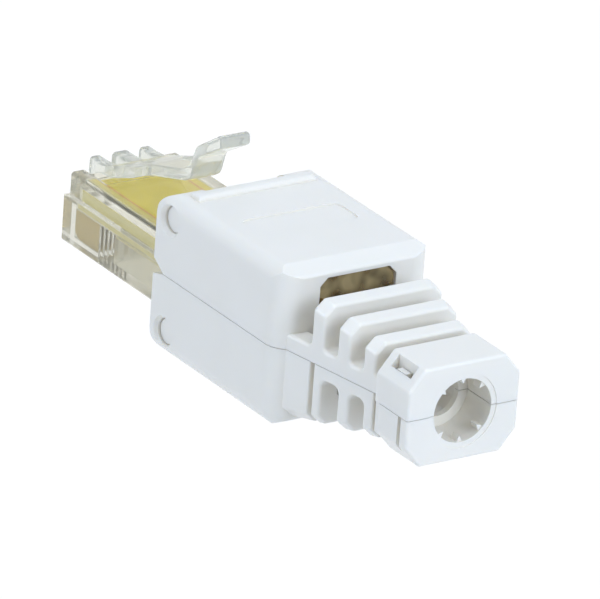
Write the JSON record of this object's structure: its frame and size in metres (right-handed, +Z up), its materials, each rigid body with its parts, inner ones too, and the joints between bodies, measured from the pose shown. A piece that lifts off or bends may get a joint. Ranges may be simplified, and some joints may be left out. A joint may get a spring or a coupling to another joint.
{
  "type": "field termination ethernet plug",
  "caption": "White tool-less ethernet plug with a clear latched nose, two hinged covers and a ribbed strain relief neck.",
  "frame": {"origin": "middle of the plug's length and width, at the underside of the lower cover", "axes": "+X towards the cable end along the plug's length, +Y across the plug, +Z up with the latch on top"},
  "size_m": [0.0522, 0.0148, 0.0175],
  "materials": {
    "white_plastic": "gloss",
    "clear_plastic": "gloss",
    "tinted_plastic": "gloss",
    "board": "satin",
    "gold_contact": "polished",
    "plated_terminal": "satin"
  },
  "bodies": {
    "plug": {"nose_body": "clear_plastic", "circuit_board": "board", "contact_1": "gold_contact", "contact_2": "gold_contact", "contact_3": "gold_contact", "contact_4": "gold_contact", "contact_5": "gold_contact", "contact_6": "gold_contact", "contact_7": "gold_contact", "contact_8": "gold_contact", "idc_terminal_1": "plated_terminal", "idc_terminal_2": "plated_terminal", "idc_terminal_3": "plated_terminal", "idc_terminal_4": "plated_terminal", "idc_terminal_5": "plated_terminal", "idc_terminal_6": "plated_terminal", "idc_terminal_7": "plated_terminal", "idc_terminal_8": "plated_terminal", "terminal_block": "white_plastic"},
    "latch": {"latch_lever": "clear_plastic"},
    "upper": {"upper_cover": "white_plastic", "upper_wire_cap": "tinted_plastic"},
    "lower": {"lower_cover": "white_plastic", "lower_wire_cap": "tinted_plastic"}
  },
  "joints": [
    {"name": "latch_press", "type": "hinge", "parent": "plug", "child": "latch", "pos_m": [-0.02426, 0, 0.0092], "axis": [0, 1, 0], "range_deg": [0, 8], "stiffness_Nm_per_rad": 0.05},
    {"name": "upper_swing", "type": "hinge", "parent": "plug", "child": "upper", "pos_m": [-0.00671, 0, 0.012], "axis": [0, -1, 0], "range_deg": [0, 45]},
    {"name": "lower_swing", "type": "hinge", "parent": "plug", "child": "lower", "pos_m": [-0.00671, 0, 0.002], "axis": [0, 1, 0], "range_deg": [0, 45]}
  ]
}
